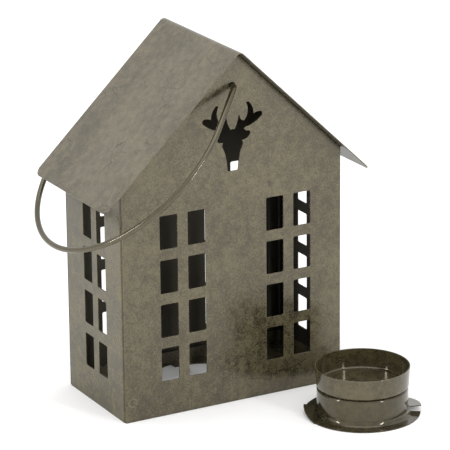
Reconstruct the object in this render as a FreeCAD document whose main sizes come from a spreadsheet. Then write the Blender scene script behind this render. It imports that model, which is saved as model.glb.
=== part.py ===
import FreeCAD, Part
import math
import os
import re

import Sketcher

# A house-shaped candle lantern of thin sheet steel.
# Frame: X across the gable front, -Y the front, +Z up, the ridge runs along Y.
# The origin is the centre of the floor hole, on the surface that the house stands on.

SIZES = [
    # the house
    ("house_width", 152.0, "outside of one side wall to the outside of the other"),
    ("house_depth", 77.5, "outside of the front wall to the outside of the back wall"),
    ("wall_height", 152.7, "ground to the roof's underside above a side wall"),
    ("roof_rise", 73.1, "side wall line to ridge, measured on the roof's underside"),
    ("sheet_steel", 0.6, "thickness of every pressed piece of the house"),
    ("weld_gap", 0.05, "air between two sheets that are spot-welded"),
    ("corner_bend", 2.0, "outer radius of the bends at the house's corners"),
    ("seam_setback", 0.5, "gable panel's edge, back from the side wall's outside"),
    ("corner_lap", 9.5, "width of the side wall's laps behind the gable panels"),
    ("roof_lap", 8.0, "depth of the gable panel's lap under the roof"),
    ("roof_lap_bend", 0.5, "outer radius of the tight fold into that lap"),
    ("weld_mark_diameter", 5.0, "shallow dimple of a spot weld"),
    ("weld_mark_depth", 0.12, "depth of that dimple"),
    ("weld_mark_height", 12.5, "height of the lower spot welds"),
    # the roof
    ("eave_overhang", 15.0, "level distance from the side wall to the eave"),
    ("gable_overhang", 10.3, "roof's reach past each gable panel"),
    ("roof_corner_radius", 6.0, "rounding of the roof sheet's four corners"),
    ("ridge_bend", 3.5, "outer radius of the bend along the ridge"),
    # the gable windows
    ("pane_width", 12.1, "width of one gable pane"),
    ("pane_height", 21.2, "height of one gable pane"),
    ("pane_gap", 7.0, "bar between the two columns of a window"),
    ("pane_pitch", 28.2, "height from one row of panes to the next"),
    ("pane_sill", 22.6, "height of the lowest pane's lower edge"),
    ("pane_corner", 0.9, "rounding of a pane's corners"),
    ("left_window", 34.9, "front left window's middle, from the middle of the gable"),
    ("right_window", 38.5, "front right window's middle, from the middle of the gable"),
    ("back_window", 36.8, "back windows' middles, from the middle of the gable"),
    # the side windows
    ("side_pane_width", 11.3, "width of one side pane"),
    ("side_pane_height", 21.3, "height of one side pane"),
    ("side_pane_gap", 7.1, "bar between the two columns of a side window"),
    ("side_pane_pitch", 28.3, "height from one row of side panes to the next"),
    ("left_pane_sill", 21.5, "height of the lowest left side pane's lower edge"),
    ("right_pane_sill", 19.8, "height of the lowest right side pane's lower edge"),
    ("side_window_centre", -0.8, "side windows' middles, in front of the house's middle when negative"),
    # the stag's head cut in both gables
    ("stag_height", 42.0, "lower edge of the muzzle to the tips of the antlers"),
    ("stag_foot", 149.4, "height of the muzzle's lower edge"),
    # the bail
    ("wire_diameter", 3.5, "bail wire"),
    ("pivot_height", 202.8, "height of the pivot holes"),
    ("pivot_clearance", 0.4, "air around the wire in its hole"),
    ("bail_reach", 139.9, "pivot line to the crown of the hoop"),
    ("bail_hoop_radius", 72.0, "centre line of the round part of the hoop"),
    ("bail_stand_off", 2.8, "gable panel to the corner of the bent wire"),
    ("bail_bend", 3.0, "centre-line radius of the bends at the pivots"),
    ("bail_end_inset", 5.2, "gable panel to the end leg inside the house"),
    ("bail_end_leg", 7.0, "length of the end leg, from the pivot line"),
    ("bail_rest_angle", 42.3, "hoop's slope below level when it hangs at the left"),
    # the floor
    ("floor_lap", 9.0, "height of the floor plate's upturned laps"),
    ("floor_bend", 1.0, "outer radius of the bend into those laps"),
    ("floor_corner", 2.4, "rounding of the floor plate's upright corners"),
    ("hole_diameter", 63.0, "hole that the candle cup comes up through"),
    ("notch_clearance", 0.6, "air between an ear's tip and its notch"),
    ("notch_margin", 3.0, "angle added to each side of an ear for its notch"),
    ("notch_start", 99.0, "angle at which the first notch begins"),
    # the candle cup
    ("cup_steel", 0.6, "thickness of the cup's two pressings"),
    ("cup_clearance", 2.3, "air between the pan's rim and the floor hole"),
    ("pan_flare", 0.8, "pan's rim radius less its radius at the foot"),
    ("pan_foot_inset", 0.3, "base wall's radius less than the pan's foot"),
    ("pan_foot_bend", 1.8, "outer radius at the pan's foot"),
    ("pan_height", 13.0, "foot of the pan to its rim"),
    ("base_height", 17.4, "ground to the top of the base"),
    ("base_shoulder", 1.7, "outer radius at the base's shoulder"),
    ("base_fillet", 3.0, "radius where the base's wall meets its flange"),
    ("flange_lap", 4.2, "flange's reach past the edge of the floor hole"),
    ("ear_reach", 0.6, "ear's tip beyond the flange's edge"),
    ("ear_span", 38.0, "angle of flange that is bent up as an ear"),
    ("ear_slope", 10.0, "slope of an ear, up from its fold"),
    ("ear_slit", 0.6, "slit between an ear and the base's wall"),
    ("cup_x", 59.3, "cup's place beside the lantern"),
    ("cup_y", -93.0, "cup's place in front of the lantern"),
    ("cup_turn", -32.0, "angle of the first ear's free edge"),
]

# Right half of the stag's head, in millimetres from the muzzle's foot and at a
# height of 42. A corner is one point; an arc is its middle and its end.
STAG_OUTLINE_HEIGHT = 42.0
STAG_FIRST = (0.0, 26.3)
STAG_HALF = [
    [(1.4, 26.0)],
    [(3.0, 29.4), (4.3, 34.4)],
    [(5.0, 34.0)],
    [(5.9, 31.6), (8.0, 30.6)],
    [(10.3, 34.6), (9.5, 41.4)],
    [(10.4, 42.0), (11.4, 41.8)],
    [(13.7, 38.6), (14.6, 34.0)],
    [(16.6, 34.7), (19.3, 34.9)],
    [(20.5, 33.8), (20.0, 31.9)],
    [(16.2, 29.0), (10.8, 26.6)],
    [(8.6, 26.1), (8.0, 25.3)],
    [(9.2, 24.2), (11.4, 23.8)],
    [(12.3, 22.5), (11.4, 20.6)],
    [(9.4, 19.0), (6.6, 18.6)],
    [(7.3, 16.4)],
    [(5.2, 11.4)],
    [(4.2, 6.6)],
    [(3.6, 0.6)],
    [(3.2, 0.0)],
]

ROWS = 4
EARS = 2
PANE_COLUMNS = (-1, 1)

document = FreeCAD.newDocument("lantern")
sizes = document.addObject("Spreadsheet::Sheet", "Sizes")
for row, (alias, value, note) in enumerate(SIZES, start=1):
    sizes.set(f"A{row}", alias)
    sizes.set(f"B{row}", str(value))
    sizes.set(f"C{row}", note)
    sizes.setAlias(f"B{row}", alias)
document.recompute()

ALIASES = {alias for alias, value, note in SIZES}


def size(alias):
    return float(sizes.get(alias))


def tied(formula):
    """A formula in the sheet's aliases, written so that any object can use it."""
    return re.sub(r"[a-z_]+", lambda word: f"Sizes.{word[0]}" if word[0] in ALIASES else word[0], formula)


def worth(formula):
    """What a formula in the sheet's aliases comes to."""
    result = sizes.evalExpression(tied(formula).replace("Sizes.", ""))
    return float(getattr(result, "Value", result))


# ---------------------------------------------------------------- shared formulas
HALF_WIDTH = "house_width / 2"
HALF_DEPTH = "house_depth / 2"
RUN = "(house_width / 2)"
SLOPE_LENGTH = f"sqrt({RUN}^2 + roof_rise^2)"
# What a distance square to the roof sheet comes to when it is measured upright.
UPRIGHT = f"({SLOPE_LENGTH} / {RUN})"


def under_roof(x, below="0"):
    """Height of the line a distance below the roof's underside, at x to one side."""
    return f"(wall_height + roof_rise * (1 - ({x}) / {RUN}) - ({below}) * {UPRIGHT})"


FLANGE_RADIUS = "(hole_diameter / 2 + flange_lap)"
RIM_RADIUS = "(hole_diameter / 2 - cup_clearance)"
PAN_RADIUS = f"({RIM_RADIUS} - pan_flare)"
BASE_RADIUS = f"({PAN_RADIUS} - pan_foot_inset)"
EAR_RADIUS = f"({FLANGE_RADIUS} + ear_reach)"


# ---------------------------------------------------------------- sketch helpers
def arc_through(start, middle, end):
    """A sketch's arc through three points, always stored anticlockwise."""
    around = Part.Arc(start, middle, end).toShape().Curve
    centre = around.Center
    if (middle - start).cross(end - middle).z < 0:
        start, end = end, start
    angles = [math.atan2(point.y - centre.y, point.x - centre.x) for point in (start, end)]
    if angles[1] < angles[0]:
        angles[1] += 2 * math.pi
    ring = Part.Circle(centre, FreeCAD.Vector(0, 0, 1), around.Radius)
    return Part.ArcOfCircle(ring, *angles)


def body(label):
    piece = document.addObject("PartDesign::Body", label)
    piece.Label = label
    return piece


def sketch(piece, plane, offset="0"):
    """A sketch on one of the body's own planes, moved along that plane's normal."""
    drawing = piece.newObject("Sketcher::SketchObject", "Sketch")
    drawing.AttachmentSupport = [(origin_feature(piece, plane), "")]
    drawing.MapMode = "FlatFace"
    drawing.setExpression("AttachmentOffset.Base.z", tied(offset))
    document.recompute()
    return drawing


def origin_feature(piece, role):
    return next(item for item in piece.Origin.OriginFeatures if item.Role == role)


def measure(drawing, kind, references, formula):
    """Adds a constraint whose value follows the sheet."""
    number = drawing.addConstraint(Sketcher.Constraint(kind, *references, worth(formula)))
    drawing.setExpression(f"Constraints[{number}]", tied(formula))


def pin_down(drawing, geometry, place, x, y):
    """Ties a point to two formulas, or to an axis where a formula is zero."""
    origin = (-1, 1)
    for kind, axis, formula in (("DistanceX", -2, x), ("DistanceY", -1, y)):
        if abs(worth(formula)) < 1e-9:
            drawing.addConstraint(Sketcher.Constraint("PointOnObject", geometry, place, axis))
        else:
            measure(drawing, kind, (*origin, geometry, place), formula)


def outline(drawing, corners):
    """A closed outline. A corner is (x, y) or (x, y, radius), each a formula."""
    points = [FreeCAD.Vector(worth(corner[0]), worth(corner[1]), 0) for corner in corners]
    radii = [worth(corner[2]) if len(corner) > 2 else 0 for corner in corners]
    count = len(corners)
    arrive, leave, arcs = [], [], []
    for index, point in enumerate(points):
        back = (points[index - 1] - point).normalize()
        ahead = (points[(index + 1) % count] - point).normalize()
        half_angle = back.getAngle(ahead) / 2
        reach = radii[index] / math.tan(half_angle)
        arrive.append(point + back * reach)
        leave.append(point + ahead * reach)
        if radii[index]:
            inward = (back + ahead).normalize()
            centre = point + inward * (radii[index] / math.sin(half_angle))
            arcs.append(arc_through(arrive[-1], centre - inward * radii[index], leave[-1]))
        else:
            arcs.append(None)
    lines = [
        drawing.addGeometry(Part.LineSegment(leave[index], arrive[(index + 1) % count]), False)
        for index in range(count)
    ]
    for index, corner in enumerate(corners):
        before, after = lines[index - 1], lines[index]
        if arcs[index] is None:
            drawing.addConstraint(Sketcher.Constraint("Coincident", before, 2, after, 1))
            pin_down(drawing, after, 1, corner[0], corner[1])
            continue
        arc = drawing.addGeometry(arcs[index], False)
        start = drawing.Geometry[arc].StartPoint
        first, last = (1, 2) if (start - arrive[index]).Length < 1e-6 else (2, 1)
        drawing.addConstraint(Sketcher.Constraint("Tangent", before, 2, arc, first))
        drawing.addConstraint(Sketcher.Constraint("Tangent", arc, last, after, 1))
        measure(drawing, "Radius", (arc,), corner[2])
        corner_point = drawing.addGeometry(Part.Point(points[index]), True)
        drawing.addConstraint(Sketcher.Constraint("PointOnObject", corner_point, 1, before))
        drawing.addConstraint(Sketcher.Constraint("PointOnObject", corner_point, 1, after))
        pin_down(drawing, corner_point, 1, corner[0], corner[1])


def rectangle(drawing, x, y, width, height, radius):
    """A rounded rectangle about the middle (x, y)."""
    outline(drawing, [
        (f"{x} - ({width}) / 2", f"{y} - ({height}) / 2", radius),
        (f"{x} + ({width}) / 2", f"{y} - ({height}) / 2", radius),
        (f"{x} + ({width}) / 2", f"{y} + ({height}) / 2", radius),
        (f"{x} - ({width}) / 2", f"{y} + ({height}) / 2", radius),
    ])


def circle(drawing, x, y, diameter):
    centre = FreeCAD.Vector(worth(x), worth(y), 0)
    ring = drawing.addGeometry(Part.Circle(centre, FreeCAD.Vector(0, 0, 1), worth(diameter) / 2), False)
    pin_down(drawing, ring, 3, x, y)
    measure(drawing, "Diameter", (ring,), diameter)


def sector(drawing, inner, outer, start, end):
    """A piece of a ring about the origin, from one angle to another."""
    angles = [math.radians(worth(start)), math.radians(worth(end))]
    rays = []
    for formula, angle in zip((start, end), angles):
        way = FreeCAD.Vector(math.cos(angle), math.sin(angle), 0)
        ray = drawing.addGeometry(Part.LineSegment(way * worth(inner), way * worth(outer)), False)
        drawing.addConstraint(Sketcher.Constraint("PointOnObject", -1, 1, ray))
        number = drawing.addConstraint(Sketcher.Constraint("Angle", -1, 1, ray, 1, angle))
        drawing.setExpression(f"Constraints[{number}]", f"({tied(formula)}) * 1 deg")
        rays.append(ray)
    for radius, place in ((inner, 1), (outer, 2)):
        round_line = Part.Circle(FreeCAD.Vector(0, 0, 0), FreeCAD.Vector(0, 0, 1), worth(radius))
        arc = drawing.addGeometry(Part.ArcOfCircle(round_line, *angles), False)
        drawing.addConstraint(Sketcher.Constraint("Coincident", arc, 3, -1, 1))
        drawing.addConstraint(Sketcher.Constraint("Coincident", arc, 1, rays[0], place))
        drawing.addConstraint(Sketcher.Constraint("Coincident", arc, 2, rays[1], place))
        measure(drawing, "Radius", (arc,), radius)


# ---------------------------------------------------------------- feature helpers
def pad(piece, drawing, length, reverse=False, both_ways=False):
    feature = piece.newObject("PartDesign::Pad", "Pad")
    feature.Profile = drawing
    feature.setExpression("Length", tied(length))
    feature.Reversed = reverse
    feature.Midplane = both_ways
    document.recompute()
    return feature


def cut_through(piece, drawing):
    """Cuts a drawing through the whole body, on both sides of its plane."""
    feature = piece.newObject("PartDesign::Pocket", "Pocket")
    feature.Profile = drawing
    feature.Type = "ThroughAll"
    feature.Midplane = True
    finish_cut(piece, feature)
    return feature


def cut_down(piece, drawing, depth, reverse=False):
    feature = piece.newObject("PartDesign::Pocket", "Pocket")
    feature.Profile = drawing
    feature.setExpression("Length", tied(depth))
    feature.Reversed = reverse
    finish_cut(piece, feature)
    return feature


def finish_cut(piece, feature):
    before = feature.BaseFeature.Shape.Volume
    document.recompute()
    if not feature.Shape.Volume < before - 1e-6:
        raise RuntimeError(f"{piece.Label}: {feature.Name} removed nothing")


def repeat_up(piece, feature, pitch):
    """Repeats a cut for each row of panes."""
    pattern = piece.newObject("PartDesign::LinearPattern", "LinearPattern")
    pattern.Originals = [feature]
    pattern.Direction = (origin_feature(piece, "Z_Axis"), [""])
    pattern.setExpression("Length", tied(f"{pitch} * {ROWS - 1}"))
    pattern.Occurrences = ROWS
    piece.Tip = pattern
    document.recompute()


def repeat_round(piece, features):
    """Repeats features on the other side of the Z axis."""
    pattern = piece.newObject("PartDesign::PolarPattern", "PolarPattern")
    pattern.Originals = features
    pattern.Axis = (origin_feature(piece, "Z_Axis"), [""])
    pattern.Angle = 360
    pattern.Occurrences = EARS
    piece.Tip = pattern
    document.recompute()


def fillet(piece, radius, wanted):
    """Rounds the edges of the body that the test wanted(edge) picks."""
    base = piece.Tip
    names = [f"Edge{number}" for number, edge in enumerate(base.Shape.Edges, start=1) if wanted(edge)]
    feature = piece.newObject("PartDesign::Fillet", "Fillet")
    feature.Base = (base, names)
    feature.setExpression("Radius", tied(radius))
    document.recompute()
    return len(names)


def revolve(piece, drawing):
    feature = piece.newObject("PartDesign::Revolution", "Revolution")
    feature.Profile = drawing
    feature.ReferenceAxis = (drawing, ["V_Axis"])
    feature.Angle = 360
    document.recompute()


# ---------------------------------------------------------------- the gable walls
def stag_edges():
    """The edges of the whole stag's head, about the middle of its muzzle's foot."""
    scale = size("stag_height") / STAG_OUTLINE_HEIGHT
    edges = []
    for side in (1, -1):
        def point(place):
            return FreeCAD.Vector(side * place[0] * scale, place[1] * scale, 0)
        here = point(STAG_FIRST)
        for step in STAG_HALF:
            there = point(step[-1])
            if len(step) == 1:
                edges.append(Part.LineSegment(here, there))
            else:
                edges.append(arc_through(here, point(step[0]), there))
            here = there
    foot = FreeCAD.Vector(STAG_HALF[-1][-1][0] * scale, 0, 0)
    edges.append(Part.LineSegment(foot, FreeCAD.Vector(-foot.x, 0, 0)))
    return edges


def gable_wall(label, side, windows):
    """A flat gable panel, with a window at each of the places given and the lap that carries the roof."""
    wall = body(label)
    face = f"{-side} * ({HALF_DEPTH})"
    inward = side < 0
    edge = f"{HALF_WIDTH} - seam_setback"
    # The apex is cut level, clear of the inside of the ridge's bend.
    apex = "(ridge_bend - sheet_steel)"

    panel = sketch(wall, "XZ_Plane", face)
    outline(panel, [
        (f"-({edge})", "0"),
        (edge, "0"),
        (edge, under_roof(edge)),
        (apex, under_roof(apex)),
        (f"-({apex})", under_roof(apex)),
        (f"-({edge})", under_roof(edge)),
    ])
    pad(wall, panel, "sheet_steel", reverse=inward)

    laps = sketch(wall, "XZ_Plane", face)
    for hand in ("", "-"):
        outline(laps, [
            (f"{hand}({apex})", under_roof(apex)),
            (f"{hand}({edge})", under_roof(edge)),
            (f"{hand}({edge})", under_roof(edge, "sheet_steel")),
            (f"{hand}({apex})", under_roof(apex, "sheet_steel")),
        ])
    pad(wall, laps, "roof_lap", reverse=inward)

    outside = side * size("house_depth") / 2

    def is_roof_line(line):
        ends = [vertex.Point for vertex in line.Vertexes]
        if len(ends) < 2 or any(abs(end.y - outside) > 1e-4 for end in ends):
            return False
        return abs(ends[0].z - ends[1].z) > 1 and abs(ends[0].x - ends[1].x) > size("house_width") / 4

    fillet(wall, "roof_lap_bend", is_roof_line)

    panes = sketch(wall, "XZ_Plane", face)
    for window in windows:
        for column in PANE_COLUMNS:
            middle = f"{window} + {column} * (pane_width + pane_gap) / 2"
            rectangle(panes, middle, "pane_sill + pane_height / 2", "pane_width", "pane_height", "pane_corner")
    repeat_up(wall, cut_through(wall, panes), "pane_pitch")

    stag = sketch(wall, "XZ_Plane", face)
    stag.setExpression("AttachmentOffset.Base.y", tied("stag_foot"))
    stag.addGeometry(stag_edges(), False)
    cut_through(wall, stag)

    pivot = sketch(wall, "XZ_Plane", face)
    circle(pivot, "0", "pivot_height", "wire_diameter + 2 * pivot_clearance")
    cut_through(wall, pivot)

    marks = sketch(wall, "XZ_Plane", face)
    for hand in ("", "-"):
        place = f"{hand}({HALF_WIDTH} - sheet_steel - corner_lap / 2)"
        circle(marks, place, "weld_mark_height", "weld_mark_diameter")
    cut_down(wall, marks, "weld_mark_depth", reverse=not inward)
    return wall


# ---------------------------------------------------------------- the side walls
def side_wall(label, side, lowest_sill):
    """A channel: the side of the house and the two laps behind the gable panels."""
    wall = body(label)
    outer = f"{side} * ({HALF_WIDTH})"
    inner = f"{side} * ({HALF_WIDTH} - sheet_steel)"
    lap = f"{side} * ({HALF_WIDTH} - corner_lap)"
    face = f"({HALF_DEPTH} - sheet_steel - weld_gap)"
    back = f"({face} - sheet_steel)"
    inner_bend = "corner_bend - sheet_steel"

    channel = sketch(wall, "XY_Plane")
    outline(channel, [
        (outer, f"-{face}", "corner_bend"),
        (outer, face, "corner_bend"),
        (lap, face),
        (lap, back),
        (inner, back, inner_bend),
        (inner, f"-{back}", inner_bend),
        (lap, f"-{back}"),
        (lap, f"-{face}"),
    ])
    pad(wall, channel, "wall_height + roof_rise")

    # The top stops short of the laps that the gable panels turn in under the roof.
    slope = sketch(wall, "XZ_Plane")
    below = "sheet_steel + weld_gap"
    beyond = f"({HALF_WIDTH} + eave_overhang)"
    outline(slope, [
        ("0", under_roof("0", below)),
        (f"{side} * {beyond}", under_roof(beyond, below)),
        (f"{side} * {beyond}", "wall_height + 2 * roof_rise"),
        ("0", "wall_height + 2 * roof_rise"),
    ])
    cut_through(wall, slope)

    panes = sketch(wall, "YZ_Plane")
    for column in PANE_COLUMNS:
        middle = f"side_window_centre + {column} * (side_pane_width + side_pane_gap) / 2"
        sill = f"{lowest_sill} + side_pane_height / 2"
        rectangle(panes, middle, sill, "side_pane_width", "side_pane_height", "pane_corner")
    repeat_up(wall, cut_through(wall, panes), "side_pane_pitch")
    return wall


# ---------------------------------------------------------------- the roof
def roof_sheet():
    """One sheet, folded along the ridge, with rounded corners."""
    roof = body("roof")
    eave = f"({HALF_WIDTH} + eave_overhang)"
    lift = "-sheet_steel"
    # The eave is cut square to the sheet.
    tip_out = f"sheet_steel * roof_rise / {SLOPE_LENGTH}"
    tip_up = f"sheet_steel * {RUN} / {SLOPE_LENGTH}"

    profile = sketch(roof, "XZ_Plane")
    outline(profile, [
        ("0", under_roof("0", lift), "ridge_bend"),
        (f"{eave} + {tip_out}", f"{under_roof(eave)} + {tip_up}"),
        (eave, under_roof(eave)),
        ("0", under_roof("0"), "ridge_bend - sheet_steel"),
        (f"-{eave}", under_roof(eave)),
        (f"-{eave} - {tip_out}", f"{under_roof(eave)} + {tip_up}"),
    ])
    pad(roof, profile, "house_depth + 2 * gable_overhang", both_ways=True)

    def is_sheet_corner(edge):
        return abs(edge.Length - size("sheet_steel")) < 1e-4

    fillet(roof, "roof_corner_radius", is_sheet_corner)
    return roof


# ---------------------------------------------------------------- the floor
def floor_plate():
    """A shallow tray with the notched hole for the candle cup."""
    floor = body("floor_plate")
    width = "house_width - 2 * (sheet_steel + weld_gap)"
    depth = "house_depth - 4 * (sheet_steel + weld_gap)"

    tray = sketch(floor, "XY_Plane")
    rectangle(tray, "0", "0", width, depth, "floor_corner")
    pad(floor, tray, "floor_lap")

    inside = sketch(floor, "XY_Plane", "floor_lap")
    wall = "2 * sheet_steel"
    rectangle(inside, "0", "0", f"{width} - {wall}", f"{depth} - {wall}", "floor_corner - sheet_steel")
    cut_down(floor, inside, "floor_lap - sheet_steel")

    fillet(floor, "floor_bend", lambda edge: all(abs(end.Point.z) < 1e-6 for end in edge.Vertexes))

    hole = sketch(floor, "XY_Plane")
    circle(hole, "0", "0", "hole_diameter")
    cut_through(floor, hole)

    notch = sketch(floor, "XY_Plane")
    notch_end = "notch_start + ear_span + 2 * notch_margin"
    sector(notch, "hole_diameter / 2 - cup_clearance", f"{EAR_RADIUS} + notch_clearance", "notch_start", notch_end)
    repeat_round(floor, [cut_through(floor, notch)])
    return floor


# ---------------------------------------------------------------- the bail
def bail_wire():
    """A wire hoop with straight shanks, whose ends turn in through the gables."""
    bail = body("bail")
    wire_radius = size("wire_diameter") / 2
    face = size("house_depth") / 2
    corner = FreeCAD.Vector(0, face + size("bail_stand_off"), 0)
    hoop_radius = size("bail_hoop_radius")
    centre = FreeCAD.Vector(-(size("bail_reach") - hoop_radius), 0, 0)

    # The shank leaves the corner on the line that touches the round hoop.
    to_centre = centre - corner
    turn = math.asin(hoop_radius / to_centre.Length)
    heading = math.atan2(to_centre.y, to_centre.x) - turn
    shank = FreeCAD.Vector(math.cos(heading), math.sin(heading), 0)
    touch = corner + shank * math.sqrt(to_centre.Length**2 - hoop_radius**2)
    crown = FreeCAD.Vector(-size("bail_reach"), 0, 0)

    inner_corner = FreeCAD.Vector(0, face - size("bail_end_inset"), 0)
    leg_end = FreeCAD.Vector(size("bail_end_leg"), inner_corner.y, 0)

    def bend(before, point, after):
        """Where a bend of the wire starts, its middle and where it ends."""
        back = (before - point).normalize()
        ahead = (after - point).normalize()
        half_angle = back.getAngle(ahead) / 2
        reach = size("bail_bend") / math.tan(half_angle)
        inward = (back + ahead).normalize()
        middle = point + inward * (size("bail_bend") / math.sin(half_angle) - size("bail_bend"))
        return point + back * reach, middle, point + ahead * reach

    end_bend = bend(leg_end, inner_corner, corner)
    pivot_bend = bend(inner_corner, corner, touch)

    def mirrored(point):
        return FreeCAD.Vector(point.x, -point.y, point.z)

    half = [
        Part.LineSegment(leg_end, end_bend[0]),
        arc_through(*end_bend),
        Part.LineSegment(end_bend[2], pivot_bend[0]),
        arc_through(*pivot_bend),
        Part.LineSegment(pivot_bend[2], touch),
    ]
    other_half = [
        Part.LineSegment(mirrored(touch), mirrored(pivot_bend[2])),
        arc_through(*[mirrored(point) for point in reversed(pivot_bend)]),
        Part.LineSegment(mirrored(pivot_bend[0]), mirrored(end_bend[2])),
        arc_through(*[mirrored(point) for point in reversed(end_bend)]),
        Part.LineSegment(mirrored(end_bend[0]), mirrored(leg_end)),
    ]
    path = sketch(bail, "XY_Plane")
    path.addGeometry(half + [arc_through(touch, crown, mirrored(touch))] + other_half, False)

    section = bail.newObject("Sketcher::SketchObject", "Section")
    section.AttachmentSupport = [(origin_feature(bail, "YZ_Plane"), "")]
    section.MapMode = "FlatFace"
    section.setExpression("AttachmentOffset.Base.z", tied("bail_end_leg"))
    document.recompute()
    circle(section, f"{HALF_DEPTH} - bail_end_inset", "0", "wire_diameter")

    pipe = bail.newObject("PartDesign::AdditivePipe", "Pipe")
    pipe.Profile = section
    pipe.Spine = (path, [])
    document.recompute()

    fillet(bail, "wire_diameter / 6", lambda edge: abs(edge.Length - 2 * math.pi * wire_radius) < 1e-3
           and abs(edge.CenterOfMass.x - size("bail_end_leg")) < 1e-3)
    tilt = FreeCAD.Rotation(FreeCAD.Vector(0, 1, 0), -size("bail_rest_angle"))
    bail.Placement = FreeCAD.Placement(FreeCAD.Vector(0, 0, size("pivot_height")), tilt)
    return bail


# ---------------------------------------------------------------- the candle cup
def beside_lantern(piece):
    """Stands a piece of the cup where it waits in front of the lantern."""
    turn = FreeCAD.Rotation(FreeCAD.Vector(0, 0, 1), size("cup_turn"))
    piece.Placement = FreeCAD.Placement(FreeCAD.Vector(size("cup_x"), size("cup_y"), 0), turn)


def cup_base():
    """A drawn hat whose flange has two sectors bent up as bayonet ears."""
    base = body("cup_base")
    profile = sketch(base, "XZ_Plane")
    inside = f"{BASE_RADIUS} - cup_steel"
    outline(profile, [
        (inside, "0", "base_fillet + cup_steel"),
        (FLANGE_RADIUS, "0"),
        (FLANGE_RADIUS, "cup_steel"),
        (BASE_RADIUS, "cup_steel", "base_fillet"),
        (BASE_RADIUS, "base_height", "base_shoulder"),
        ("0", "base_height"),
        ("0", "base_height - cup_steel"),
        (inside, "base_height - cup_steel", "base_shoulder - cup_steel"),
    ])
    revolve(base, profile)

    window = sketch(base, "XY_Plane")
    sector(window, f"{BASE_RADIUS} + ear_slit / 2", f"{EAR_RADIUS} + ear_slit", "0", "ear_span")
    gap = cut_down(base, window, "base_fillet + cup_steel", reverse=True)

    # An ear is drawn in its own plane, which is folded up about the far side of its gap.
    ear_drawing = base.newObject("Sketcher::SketchObject", "Ear")
    ear_drawing.AttachmentSupport = [(origin_feature(base, "XY_Plane"), "")]
    ear_drawing.MapMode = "FlatFace"
    fold_turn = FreeCAD.Rotation(FreeCAD.Vector(0, 0, 1), size("ear_span"))
    fold_up = FreeCAD.Rotation(FreeCAD.Vector(1, 0, 0), -size("ear_slope"))
    ear_drawing.AttachmentOffset = FreeCAD.Placement(FreeCAD.Vector(0, 0, 0), fold_turn * fold_up)
    document.recompute()
    sector(ear_drawing, f"{BASE_RADIUS} + ear_slit", EAR_RADIUS, "-ear_span", "0")
    ear = pad(base, ear_drawing, "cup_steel")
    repeat_round(base, [gap, ear])
    beside_lantern(base)
    return base


def candle_pan():
    """The shallow pan for the candle, welded to the top of the base."""
    pan = body("candle_pan")
    profile = sketch(pan, "XZ_Plane")
    foot = "(base_height + weld_gap)"
    outline(profile, [
        ("0", foot),
        (PAN_RADIUS, foot, "pan_foot_bend"),
        (RIM_RADIUS, f"{foot} + pan_height"),
        (f"{RIM_RADIUS} - cup_steel", f"{foot} + pan_height"),
        (f"{PAN_RADIUS} - cup_steel", f"{foot} + cup_steel", "pan_foot_bend - cup_steel"),
        ("0", f"{foot} + cup_steel"),
    ])
    revolve(pan, profile)
    beside_lantern(pan)
    return pan


# ---------------------------------------------------------------- the whole lantern
pieces = [
    gable_wall("front_wall", -1, ("-left_window", "right_window")),
    gable_wall("back_wall", 1, ("-back_window", "back_window")),
    side_wall("left_wall", -1, "left_pane_sill"),
    side_wall("right_wall", 1, "right_pane_sill"),
    roof_sheet(),
    floor_plate(),
    bail_wire(),
    cup_base(),
    candle_pan(),
]
document.recompute()

for item in document.Objects:
    if "Invalid" in item.State or "Error" in item.State:
        raise RuntimeError(f"{item.Name} ({item.Label}) failed: {item.State}")
for piece in pieces:
    if piece.Shape.isNull() or not piece.Shape.isValid():
        raise RuntimeError(f"{piece.Label} has no valid shape")
    if len(piece.Shape.Solids) != 1:
        raise RuntimeError(f"{piece.Label} has {len(piece.Shape.Solids)} solids")

os.makedirs("parts", exist_ok=True)
for piece in pieces:
    piece.Shape.exportStep(f"parts/{piece.Label}.step")
    print(piece.Label, round(piece.Shape.Volume, 1), piece.Shape.BoundBox)
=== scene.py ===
import math

import bpy
from mathutils import Matrix, Vector


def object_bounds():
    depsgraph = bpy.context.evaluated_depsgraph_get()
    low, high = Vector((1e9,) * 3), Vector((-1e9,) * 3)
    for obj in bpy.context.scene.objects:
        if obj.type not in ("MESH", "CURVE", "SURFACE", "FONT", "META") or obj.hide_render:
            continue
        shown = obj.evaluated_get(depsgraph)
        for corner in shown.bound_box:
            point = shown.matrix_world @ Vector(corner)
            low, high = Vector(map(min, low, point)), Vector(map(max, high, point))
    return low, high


# A hanging candle lantern of enamelled sheet steel, with its candle cup taken out and stood beside it.
# Lengths are in metres and angles in degrees, in the CAD frame: -Y is the front gable and +Z is up.

MILLIMETRE = 0.001

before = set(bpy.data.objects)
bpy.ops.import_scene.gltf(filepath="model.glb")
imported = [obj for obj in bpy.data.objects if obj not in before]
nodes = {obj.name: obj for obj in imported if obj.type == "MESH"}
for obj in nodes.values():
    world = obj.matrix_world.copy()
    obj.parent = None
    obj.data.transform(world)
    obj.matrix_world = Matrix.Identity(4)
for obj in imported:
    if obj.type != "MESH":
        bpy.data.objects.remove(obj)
cad_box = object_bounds()

# ---------------------------------------------------------------- camera

LENS = 240.5
SENSOR = 36.0
VIEW_AZIMUTH = 28.46
VIEW_ELEVATION = 18.22
VIEW_ROLL = -0.59
VIEW_DISTANCE = 1.8716
AIM = Vector((0.0152, 0.0, 0.1013))


def direction(azimuth, elevation):
    """Unit vector from the lantern, for an azimuth counted from the front towards the left."""
    turn, rise = math.radians(azimuth), math.radians(elevation)
    return Vector((-math.sin(turn) * math.cos(rise), -math.cos(turn) * math.cos(rise), math.sin(rise)))


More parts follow.
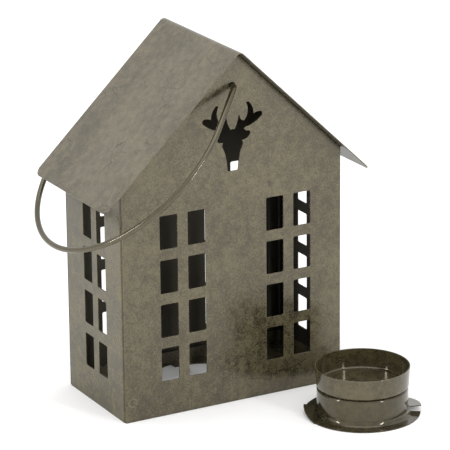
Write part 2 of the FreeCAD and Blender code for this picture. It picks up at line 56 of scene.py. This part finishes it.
def facing(back, roll=0.0):
    """Rotation of a camera or light that looks along -back, rolled about its own axis."""
    right = Vector((0, 0, 1)).cross(back).normalized()
    up = back.cross(right)
    turned = Matrix.Rotation(math.radians(roll), 3, "Z")
    return Matrix((right, up, back)).transposed() @ turned


def place(thing, position, back, roll=0.0):
    thing.matrix_world = Matrix.Translation(position) @ facing(back, roll).to_4x4()


def add(name, data):
    thing = bpy.data.objects.new(name, data)
    bpy.context.scene.collection.objects.link(thing)
    return thing


def make_camera():
    data = bpy.data.cameras.new("camera")
    data.lens = LENS
    data.sensor_width = SENSOR
    data.clip_start = 0.05
    data.clip_end = 50.0
    camera = add("camera", data)
    back = direction(VIEW_AZIMUTH, VIEW_ELEVATION)
    place(camera, AIM + back * VIEW_DISTANCE, back, VIEW_ROLL)
    bpy.context.scene.camera = camera


# ---------------------------------------------------------------- studio

WORLD_WHITE = 1.0
FLOOR_SIZE = 30.0
FLOOR_GLOW = 0.075
FLOOR_DROP = 0.02 * MILLIMETRE
PAPER_TONES = ((0.93, 0.93, 0.93), (0.97, 0.97, 0.97))

# What the lights face, and each one's name, azimuth, elevation, distance, width, height and watts.
LIT_MIDDLE = Vector((0.0, 0.0, 0.1))
SOFTBOXES = (
    ("top_softbox", 20.0, 84.0, 1.6, 1.6, 1.6, 9.0),
    ("left_strip", 90.0, 16.0, 1.3, 0.08, 0.70, 4.8),
    ("right_strip", -19.0, 16.0, 1.3, 0.07, 0.70, 4.0),
)


def make_world():
    world = bpy.data.worlds.new("studio")
    world.use_nodes = True
    background = world.node_tree.nodes["Background"]
    background.inputs["Color"].default_value = (1.0, 1.0, 1.0, 1.0)
    background.inputs["Strength"].default_value = WORLD_WHITE
    bpy.context.scene.world = world
    bpy.context.scene.view_settings.view_transform = "Standard"


def make_lights():
    for name, azimuth, elevation, distance, width, height, watts in SOFTBOXES:
        data = bpy.data.lights.new(name, "AREA")
        data.shape = "RECTANGLE"
        data.size = width
        data.size_y = height
        data.energy = watts
        light = add(name, data)
        back = direction(azimuth, elevation)
        place(light, LIT_MIDDLE + back * distance, back)
        light.visible_camera = False


# ---------------------------------------------------------------- materials

ENAMEL_IOR = 1.8
ENAMEL_TINT = (1.0, 0.90, 0.72, 1.0)
EDGE_ROUNDING = 0.28 * MILLIMETRE

# Noises of the enamel: cells per metre, octaves and roughness. The weights add them up to one tone.
CLOUDS = (24.0, 3.0, 0.55)
MOTTLE = (190.0, 5.0, 0.62)
SPECKS = (1100.0, 3.0, 0.7)
CLOUDS_WEIGHT = 0.7
MOTTLE_WEIGHT = 0.8
SPECKS_WEIGHT = 1.5
TONE_SPREAD = 0.30
# Relief: cells per metre and octaves of the noise, and its height.
PEEL = (420.0, 2.0)
PEEL_HEIGHT = 0.018 * MILLIMETRE
DENTS = (18.0, 0.0)
DENT_HEIGHT = 0.9 * MILLIMETRE
CRACK_HEIGHT = -0.02 * MILLIMETRE

# Crackle: size of its cells, width of its lines, and strength.
WIDE_CRACKS = (15 * MILLIMETRE, 0.42 * MILLIMETRE, 1.0)
HAIR_CRACKS = (6 * MILLIMETRE, 0.26 * MILLIMETRE, 0.45)
CRACK_TONE = 0.35
# How far the lines wander, and the size of the patches that have any, both against a cell's size.
CRACK_WANDER = 1.6
CRACK_WANDER_SCALE = 0.6
CRACK_PATCH_SCALE = 0.45
CRACK_PATCHES = (0.44, 0.62)

# Upright brush streaks near the foot of the walls.
STREAK_STRETCH = (900.0, 900.0, 22.0)
STREAK_LEVELS = (0.46, 0.66)
STREAK_STRENGTH = 0.30
STREAK_TONE = 0.5

# Painted highlight along the cut edges, which becomes painted shade where its tone is below one: cosines
# between which the rounded normal shows an edge, and the mottle that breaks the painted edge up.
EDGE_COSINES = (0.80, 0.995)
EDGE_SHADING_LEVELS = (0.40, 0.60)
EDGE_SHADING_LEAST = 0.3

# Seams and laps darkened as painted shade, where ambient occlusion finds them closed in.
CREASE_REACH = 3 * MILLIMETRE
CREASE_OPENNESS = (0.25, 0.85)
CREASE_STRENGTH = 0.6
CREASE_TONE = 0.35

# Roughness, between these multiples of the gloss where the mottle is low and high.
ROUGH_LEVELS = (0.25, 0.75)
ROUGH_RANGE = (0.75, 1.3)

# How far behind the middle of the house a face lies, once it counts as an inner one.
INNER_FACE_DEPTH = (-0.034, -0.024)
# The spot-weld marks low on the gables: their middle, folded to one side, and their radius.
WELD_MARK = (0.07065, 0.0, 0.0125)
WELD_MARK_RADIUS = 2.6 * MILLIMETRE
WELD_MARK_WIDTH = 0.9 * MILLIMETRE
WELD_MARK_STRENGTH = 0.45
WELD_MARK_TONE = 1.7


class Shader:
    """A material's node tree, with short calls for the nodes that the enamels are made of."""

    def __init__(self, name):
        self.material = bpy.data.materials.new(name)
        self.material.use_nodes = True
        self.tree = self.material.node_tree
        self.surface = self.tree.nodes["Principled BSDF"]
        self.place = self.tree.nodes.new("ShaderNodeTexCoord").outputs["Object"]

    def node(self, kind, **settings):
        made = self.tree.nodes.new(kind)
        for name, value in settings.items():
            setattr(made, name, value)
        return made

    def feed(self, socket, value):
        if isinstance(value, bpy.types.NodeSocket):
            self.tree.links.new(value, socket)
        else:
            socket.default_value = value

    def calc(self, operation, first, second):
        made = self.node("ShaderNodeMath", operation=operation)
        self.feed(made.inputs[0], first)
        self.feed(made.inputs[1], second)
        return made.outputs[0]

    def scaled(self, factors, where=None):
        made = self.node("ShaderNodeVectorMath", operation="MULTIPLY")
        self.feed(made.inputs[0], where or self.place)
        made.inputs[1].default_value = factors
        return made.outputs[0]

    def noise(self, scale, detail=2.0, roughness=0.5, where=None):
        made = self.node("ShaderNodeTexNoise")
        self.feed(made.inputs["Vector"], where or self.place)
        made.inputs["Scale"].default_value = scale
        made.inputs["Detail"].default_value = detail
        made.inputs["Roughness"].default_value = roughness
        return made.outputs["Fac"]

    def ramp(self, value, low, high, to_low=0.0, to_high=1.0):
        made = self.node("ShaderNodeMapRange", interpolation_type="SMOOTHSTEP")
        self.feed(made.inputs["Value"], value)
        made.inputs["From Min"].default_value = low
        made.inputs["From Max"].default_value = high
        made.inputs["To Min"].default_value = to_low
        made.inputs["To Max"].default_value = to_high
        return made.outputs["Result"]

    def blend(self, *layers):
        """Noises added by weight and spread about their middle, from 0 to 1."""
        total = 0.0
        for layer, weight in layers:
            total = self.calc("ADD", self.calc("MULTIPLY", layer, weight), total)
        middle = 0.5 * sum(weight for layer, weight in layers)
        return self.ramp(total, middle - TONE_SPREAD, middle + TONE_SPREAD)

    def mix(self, share, first, second):
        made = self.node("ShaderNodeMix", data_type="RGBA")
        self.feed(made.inputs["Factor"], share)
        self.feed(made.inputs["A"], first)
        self.feed(made.inputs["B"], second)
        return made.outputs["Result"]

    def bump(self, height, distance, under):
        made = self.node("ShaderNodeBump")
        made.inputs["Strength"].default_value = 1.0
        made.inputs["Distance"].default_value = distance
        self.feed(made.inputs["Height"], height)
        self.feed(made.inputs["Normal"], under)
        return made.outputs["Normal"]

    def height(self):
        made = self.node("ShaderNodeSeparateXYZ")
        self.feed(made.inputs[0], self.place)
        return made.outputs["Z"]

    def product(self, first, second, operation="DOT_PRODUCT"):
        """The dot product of two vectors, or their distance."""
        made = self.node("ShaderNodeVectorMath", operation=operation)
        self.feed(made.inputs[0], first)
        self.feed(made.inputs[1], second)
        return made.outputs["Value"]

    def inner_faces(self, axes):
        """1 on faces that look back towards the middle of the house along the given axes."""
        normal = self.node("ShaderNodeNewGeometry").outputs["Normal"]
        return self.ramp(self.product(self.scaled(axes), normal), *INNER_FACE_DEPTH, 1.0, 0.0)

    def ring(self, centre, radius, width):
        """1 on a ring in the gables' plane, on both sides of the middle."""
        folded = self.node("ShaderNodeVectorMath", operation="ABSOLUTE")
        self.feed(folded.inputs[0], self.place)
        away = self.product(self.scaled((1.0, 0.0, 1.0), folded.outputs[0]), centre, "DISTANCE")
        rise = self.ramp(away, radius - width, radius)
        return self.calc("MULTIPLY", rise, self.ramp(away, radius, radius + width, 1.0, 0.0))

    def creases(self, reach):
        """1 deep in a seam or under a lap, 0 in the open: the mask of the painted shade."""
        made = self.node("ShaderNodeAmbientOcclusion", samples=6)
        made.inputs["Distance"].default_value = reach
        return self.ramp(made.outputs["AO"], *CREASE_OPENNESS, 1.0, 0.0)


def colour(red, green, blue):
    return (red, green, blue, 1.0)


def shade(base, factor):
    return colour(*[factor * part for part in base])


def crackle(paint, cell, thickness, strength):
    """Sparse lines in the enamel: the given strength on a line, 0 elsewhere."""
    wander = paint.node("ShaderNodeTexNoise")
    paint.feed(wander.inputs["Vector"], paint.place)
    wander.inputs["Scale"].default_value = CRACK_WANDER_SCALE / cell
    wander.inputs["Detail"].default_value = 3.0
    bent = paint.node("ShaderNodeVectorMath", operation="MULTIPLY_ADD")
    paint.feed(bent.inputs[0], wander.outputs["Color"])
    bent.inputs[1].default_value = [CRACK_WANDER * cell] * 3
    paint.feed(bent.inputs[2], paint.place)
    cells = paint.node("ShaderNodeTexVoronoi", feature="DISTANCE_TO_EDGE")
    paint.feed(cells.inputs["Vector"], bent.outputs[0])
    cells.inputs["Scale"].default_value = 1.0 / cell
    line = paint.ramp(cells.outputs["Distance"], 0.0, thickness / cell, 1.0, 0.0)
    patches = paint.ramp(paint.noise(CRACK_PATCH_SCALE / cell), *CRACK_PATCHES)
    return paint.calc("MULTIPLY", paint.calc("MULTIPLY", line, patches), strength)


def enamel(name, light, dark, gloss=0.20, grain=1.0, crackles=0.75, sheen=0.5, edge_shading=0.8,
           edge_shading_tone=1.9, streak_height=0.0, inner_axes=None, inner_shade=0.4, bare=0.55, welded=False):
    """Glossy stoving enamel on pressed steel: mottled and slightly crackled, with a painted highlight on
    the cut edges (painted shade where the edge tone is below one) and painted shade in the seams.

    Inner faces, which look back along the given axes, are darkened by the given factor as painted shade
    of the house's dim inside, and are as dull as bare.
    """
    paint = Shader(name)
    clouds = paint.noise(*CLOUDS)
    mottle = paint.noise(*MOTTLE)
    specks = paint.noise(*SPECKS)
    tone = paint.blend((clouds, CLOUDS_WEIGHT), (mottle, MOTTLE_WEIGHT),
                       (specks, SPECKS_WEIGHT * grain))
    skin = paint.mix(tone, colour(*dark), colour(*light))

    cracks = []
    for cell, width, strength in (WIDE_CRACKS, HAIR_CRACKS):
        cracks.append(crackle(paint, cell, width, strength * crackles))
    lines = paint.calc("MAXIMUM", *cracks)
    skin = paint.mix(lines, skin, shade(dark, CRACK_TONE))

    if streak_height:
        thin = paint.noise(1.0, 3.0, 0.6, paint.scaled(STREAK_STRETCH))
        low = paint.ramp(paint.height(), 0.0, streak_height, 1.0, 0.0)
        streaks = paint.calc("MULTIPLY", paint.ramp(thin, *STREAK_LEVELS), low)
        streaks = paint.calc("MULTIPLY", streaks, STREAK_STRENGTH)
        skin = paint.mix(streaks, skin, shade(dark, STREAK_TONE))
    if welded:
        ring = paint.ring(WELD_MARK, WELD_MARK_RADIUS, WELD_MARK_WIDTH)
        mark = paint.calc("MULTIPLY", ring, WELD_MARK_STRENGTH)
        skin = paint.mix(mark, skin, shade(light, WELD_MARK_TONE))

    rounded = paint.node("ShaderNodeBevel", samples=4)
    rounded.inputs["Radius"].default_value = EDGE_ROUNDING
    normal = rounded.outputs["Normal"]
    # Painted highlight on the cut edges; the roof's darker tone makes it a painted shade there.
    if edge_shading:
        flat = paint.node("ShaderNodeNewGeometry").outputs["Normal"]
        edge = paint.ramp(paint.product(normal, flat), *EDGE_COSINES, 1.0, 0.0)
        broken = paint.ramp(mottle, *EDGE_SHADING_LEVELS, EDGE_SHADING_LEAST * edge_shading, edge_shading)
        skin = paint.mix(paint.calc("MULTIPLY", edge, broken), skin, shade(light, edge_shading_tone))
    # Painted shade in seams, laps and under the eaves, darker where ambient occlusion finds them closed
    # in.
    crease_shade = paint.calc("MULTIPLY", paint.creases(CREASE_REACH), CREASE_STRENGTH)
    skin = paint.mix(crease_shade, skin, shade(dark, CREASE_TONE))
    rough = paint.ramp(mottle, *ROUGH_LEVELS, *[share * gloss for share in ROUGH_RANGE])
    # Painted shade on the inner faces, for the dim inside of the house; they are also made duller.
    if inner_axes:
        inside = paint.inner_faces(inner_axes)
        skin = paint.mix(inside, skin, shade(dark, inner_shade))
        rough = paint.calc("MAXIMUM", rough, paint.calc("MULTIPLY", inside, bare))

    paint.feed(paint.surface.inputs["Base Color"], skin)
    paint.feed(paint.surface.inputs["Roughness"], rough)
    paint.surface.inputs["Specular IOR Level"].default_value = sheen
    paint.surface.inputs["IOR"].default_value = ENAMEL_IOR
    paint.surface.inputs["Specular Tint"].default_value = ENAMEL_TINT
    peel = paint.bump(paint.noise(*PEEL), PEEL_HEIGHT, normal)
    dent = paint.bump(paint.noise(*DENTS), DENT_HEIGHT, peel)
    paint.feed(paint.surface.inputs["Normal"], paint.bump(lines, CRACK_HEIGHT, dent))
    return paint.material


def floor_paper():
    paper = Shader("studio_paper")
    fibre = paper.noise(60.0, 4.0)
    tone = paper.mix(fibre, *[colour(*tone) for tone in PAPER_TONES])
    paper.feed(paper.surface.inputs["Base Color"], tone)
    paper.surface.inputs["Roughness"].default_value = 0.95
    paper.surface.inputs["Specular IOR Level"].default_value = 0.0
    paper.surface.inputs["Emission Color"].default_value = colour(1.0, 1.0, 1.0)
    paper.surface.inputs["Emission Strength"].default_value = FLOOR_GLOW
    return paper.material


def make_floor():
    half = FLOOR_SIZE / 2
    mesh = bpy.data.meshes.new("floor")
    corners = [(-half, -half, 0), (half, -half, 0), (half, half, 0), (-half, half, 0)]
    mesh.from_pydata(corners, [], [(0, 1, 2, 3)])
    mesh.materials.append(floor_paper())
    floor = add("floor", mesh)
    floor.location.z = min(cad_box[0][2], 0.0) - FLOOR_DROP


# ---------------------------------------------------------------- the lantern's pieces

STREAKED_HEIGHT = 0.05


def dress(material, *names):
    for name in names:
        mesh = nodes[name].data
        mesh.materials.clear()
        mesh.materials.append(material)


def dress_nodes():
    # An inner-face factor below one is painted shade for the dim inside of the house.
    dress(enamel("gable_enamel", (0.084, 0.073, 0.039), (0.018, 0.015, 0.008), edge_shading=0.35,
                 streak_height=STREAKED_HEIGHT, inner_axes=(0.0, 1.0, 0.0), inner_shade=0.25, welded=True),
          "front_wall", "back_wall")
    dress(enamel("side_enamel", (0.084, 0.068, 0.022), (0.012, 0.010, 0.003), sheen=0.30,
                 streak_height=STREAKED_HEIGHT, inner_axes=(1.0, 1.0, 0.0), inner_shade=0.05),
          "left_wall", "right_wall")
    dress(enamel("roof_enamel", (0.120, 0.104, 0.069), (0.044, 0.038, 0.025), gloss=0.24, grain=0.5,
                 crackles=0.85, edge_shading_tone=0.25, inner_axes=(1.0, 0.0, 1.0), inner_shade=1.0, bare=0.38),
          "roof")
    dress(enamel("floor_enamel", (0.060, 0.052, 0.030), (0.025, 0.021, 0.010), gloss=0.3), "floor_plate")
    dress(enamel("bail_enamel", (0.050, 0.042, 0.020), (0.026, 0.022, 0.010), gloss=0.13, grain=0.4,
                 crackles=0.0, edge_shading=0.0),
          "bail")
    # The candle cup wears the house's enamel, painted darker as shade for the cup's self-shadow and the
    # dark house beside it; the base and flange are darker still.
    dress(enamel("pan_enamel", (0.070, 0.059, 0.029), (0.012, 0.010, 0.004), gloss=0.13, grain=0.5,
                 crackles=0.2, sheen=0.46),
          "candle_pan")
    dress(enamel("cup_enamel", (0.048, 0.040, 0.019), (0.007, 0.006, 0.003), gloss=0.13, grain=0.5,
                 crackles=0.2, sheen=0.37),
          "cup_base")


make_camera()
make_world()
make_lights()
make_floor()
dress_nodes()
